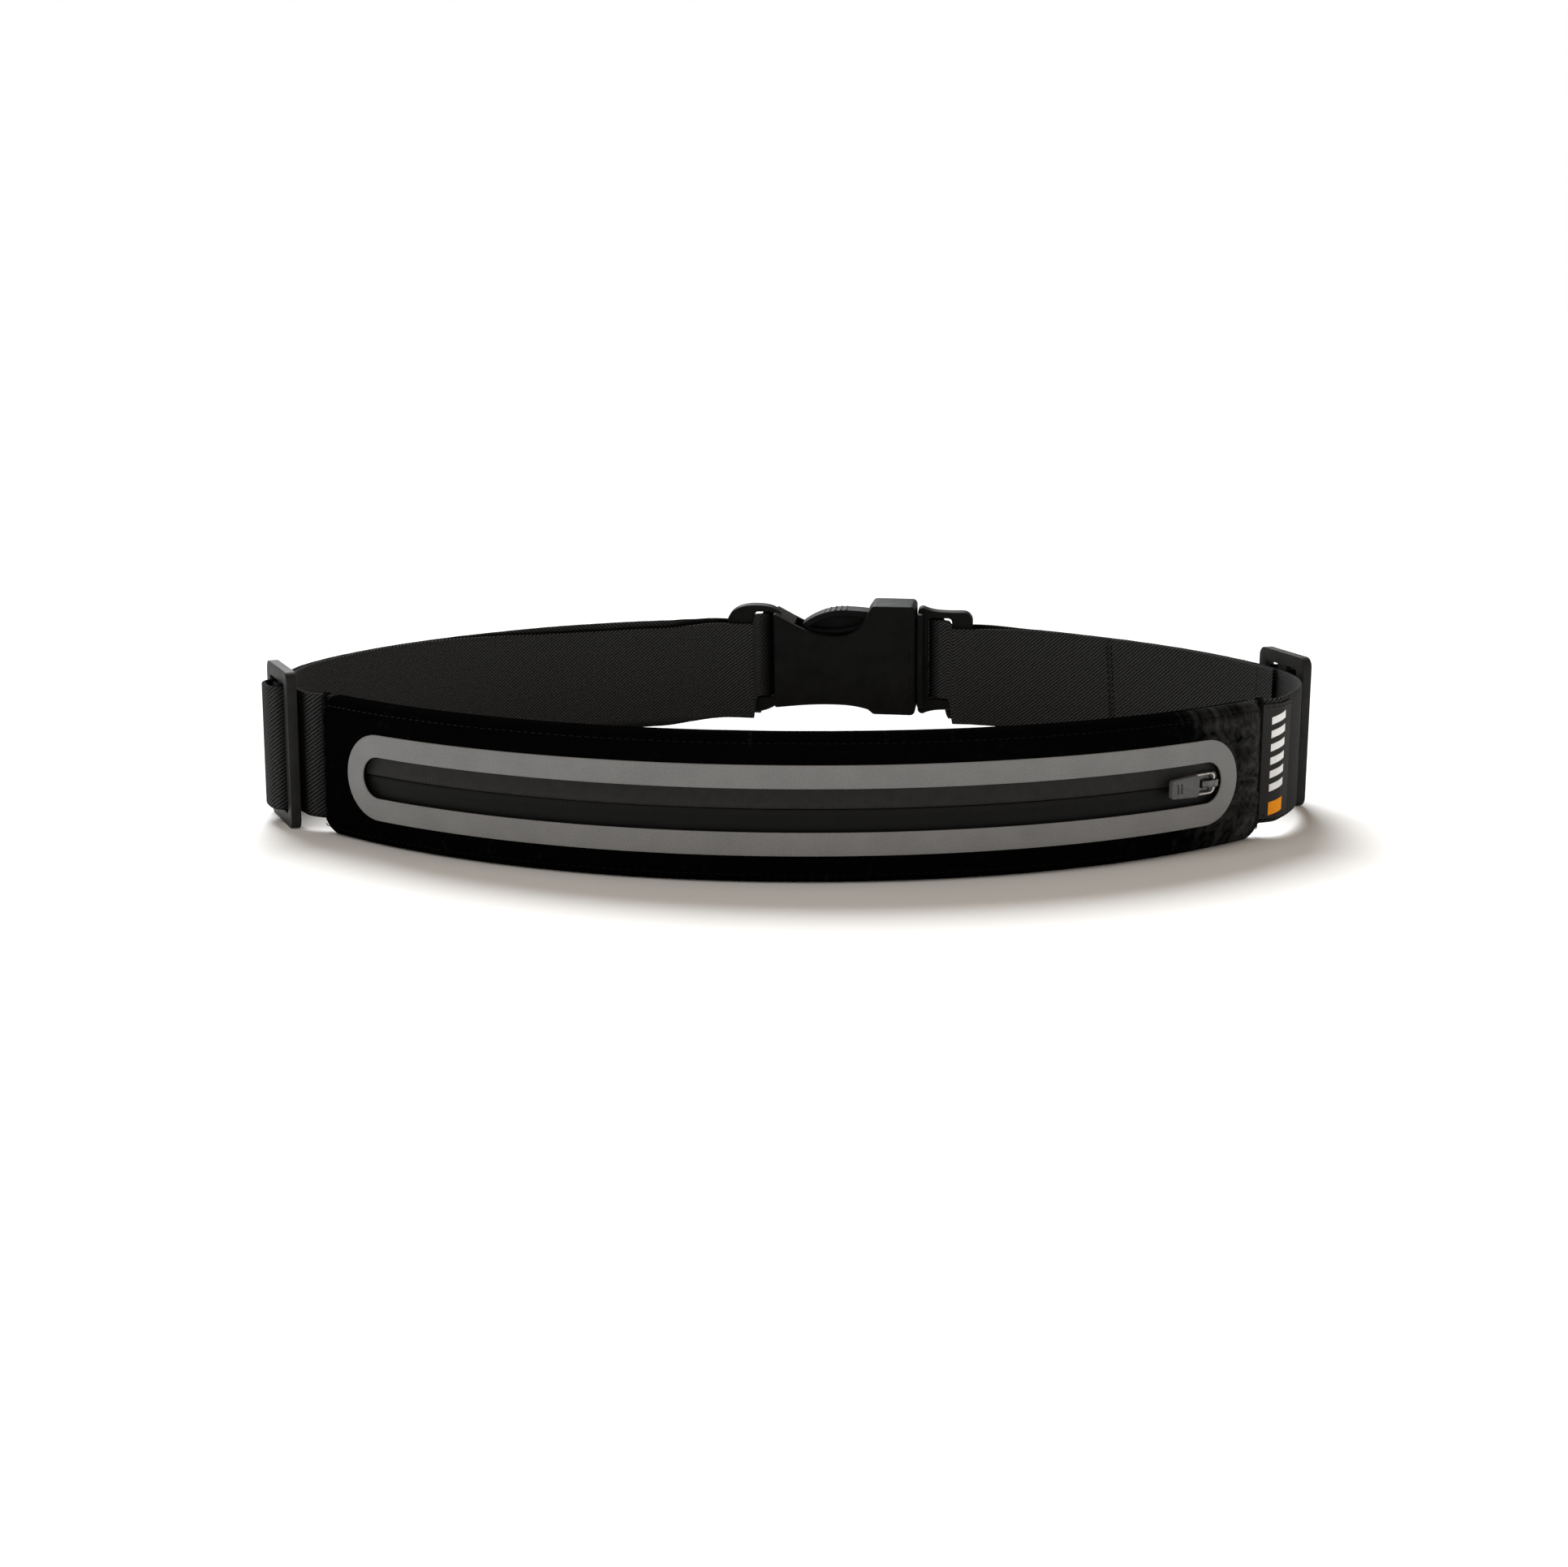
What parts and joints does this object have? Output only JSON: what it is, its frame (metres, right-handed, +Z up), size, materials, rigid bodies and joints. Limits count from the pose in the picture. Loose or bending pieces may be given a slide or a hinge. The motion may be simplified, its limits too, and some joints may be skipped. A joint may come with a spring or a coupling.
{
  "type": "money belt",
  "caption": "Elastic waist belt with a slim zipped stretch pouch, reflective trim, tri-glide adjusters and a side-release buckle.",
  "frame": {"origin": "on the floor under the middle of the ring", "axes": "+Z up, the pouch's front faces -Y, and +X is to the right of someone looking at that front"},
  "size_m": [0.3259, 0.227, 0.0507],
  "materials": {
    "stretch_fabric": "matt knitted stretch fabric",
    "reflective_film": "matt grey reflective film",
    "zip_tape": "laminated woven tape",
    "zip_coil": "moulded nylon coil",
    "zip_metal": "bright plated zinc",
    "pull_rubber": "matt moulded rubber",
    "binding": "folded knit binding",
    "webbing": "fine twill elastic webbing",
    "label": "woven label",
    "glide_plastic": "satin acetal",
    "buckle_plastic": "fine-grained acetal"
  },
  "bodies": {
    "root": {"pouch_front_panel": "stretch_fabric", "pouch_back_panel": "stretch_fabric", "reflective_trim": "reflective_film", "end_binding_left": "binding", "end_binding_right": "binding", "zip_bottom_stop": "zip_metal", "strap_left": "webbing", "strap_right": "webbing", "strap_right_return": "webbing", "strap_right_loop": "webbing", "strap_label": "label", "buckle_socket": "buckle_plastic"},
    "zip_slider": {"zip_slider": "zip_metal"},
    "zip_pull": {"zip_pull_loop": "zip_metal", "zip_pull_tab": "pull_rubber"},
    "zip_lip_upper": {"zip_tape_upper": "zip_tape", "zip_coil_upper": "zip_coil", "zip_top_stop_upper": "zip_metal"},
    "zip_lip_lower": {"zip_tape_lower": "zip_tape", "zip_coil_lower": "zip_coil", "zip_top_stop_lower": "zip_metal"},
    "buckle_plug": {"buckle_plug": "buckle_plastic"},
    "buckle_arm_upper": {"buckle_arm_upper": "buckle_plastic"},
    "buckle_arm_lower": {"buckle_arm_lower": "buckle_plastic"},
    "tri_glide_left": {"tri_glide_left": "glide_plastic", "strap_left_anchor": "webbing", "strap_left_crossing": "webbing"},
    "tri_glide_right": {"tri_glide_right": "glide_plastic", "strap_right_anchor": "webbing", "strap_right_crossing": "webbing"}
  },
  "joints": [
    {"name": "zip_travel", "type": "hinge", "parent": "root", "child": "zip_slider", "pos_m": [0, 0.0946, 0.021], "axis": [0, 0, -1], "range_deg": [0, 70]},
    {"name": "zip_pull_swing", "type": "hinge", "parent": "zip_slider", "child": "zip_pull", "pos_m": [0.12216, -0.07197, 0.021], "axis": [0, 0, 1], "range_deg": [0, 150]},
    {"name": "zip_lip_upper_part", "type": "hinge", "parent": "root", "child": "zip_lip_upper", "pos_m": [-0.12336, -0.06763, 0.021], "axis": [0, -1, 0], "range_deg": [0, 1.3]},
    {"name": "zip_lip_lower_part", "type": "hinge", "parent": "root", "child": "zip_lip_lower", "pos_m": [-0.12336, -0.06763, 0.021], "axis": [0, 1, 0], "range_deg": [0, 1.3]},
    {"name": "buckle_release", "type": "slide", "parent": "root", "child": "buckle_plug", "axis": [0.9913, -0.1319, 0], "range_m": [0, 0.042], "deforming": ["strap_right_loop"]},
    {"name": "arm_upper_squeeze", "type": "hinge", "parent": "buckle_plug", "child": "buckle_arm_upper", "pos_m": [0.04352, 0.09708, 0.04396], "axis": [-0.1306, -0.9816, -0.1392], "range_deg": [0, 6], "stiffness_Nm_per_rad": 0.3},
    {"name": "arm_lower_squeeze", "type": "hinge", "parent": "buckle_plug", "child": "buckle_arm_lower", "pos_m": [0.04405, 0.10108, 0.01524], "axis": [0.1306, 0.9816, 0.1392], "range_deg": [0, 6], "stiffness_Nm_per_rad": 0.3},
    {"name": "tri_glide_left_slide", "type": "hinge", "parent": "root", "child": "tri_glide_left", "pos_m": [-0.10721, -0.01526, 0.024], "axis": [0, 0, -1], "range_deg": [0, 45]},
    {"name": "tri_glide_right_slide", "type": "hinge", "parent": "root", "child": "tri_glide_right", "pos_m": [0.10721, -0.01526, 0.024], "axis": [0, 0, 1], "range_deg": [-34, 4]}
  ],
  "couplings": [
    {"joint": "zip_lip_upper_part", "follows": "zip_travel", "ratio": 0.018},
    {"joint": "zip_lip_lower_part", "follows": "zip_travel", "ratio": 0.018},
    {"joint": "arm_lower_squeeze", "follows": "arm_upper_squeeze", "ratio": 1}
  ]
}
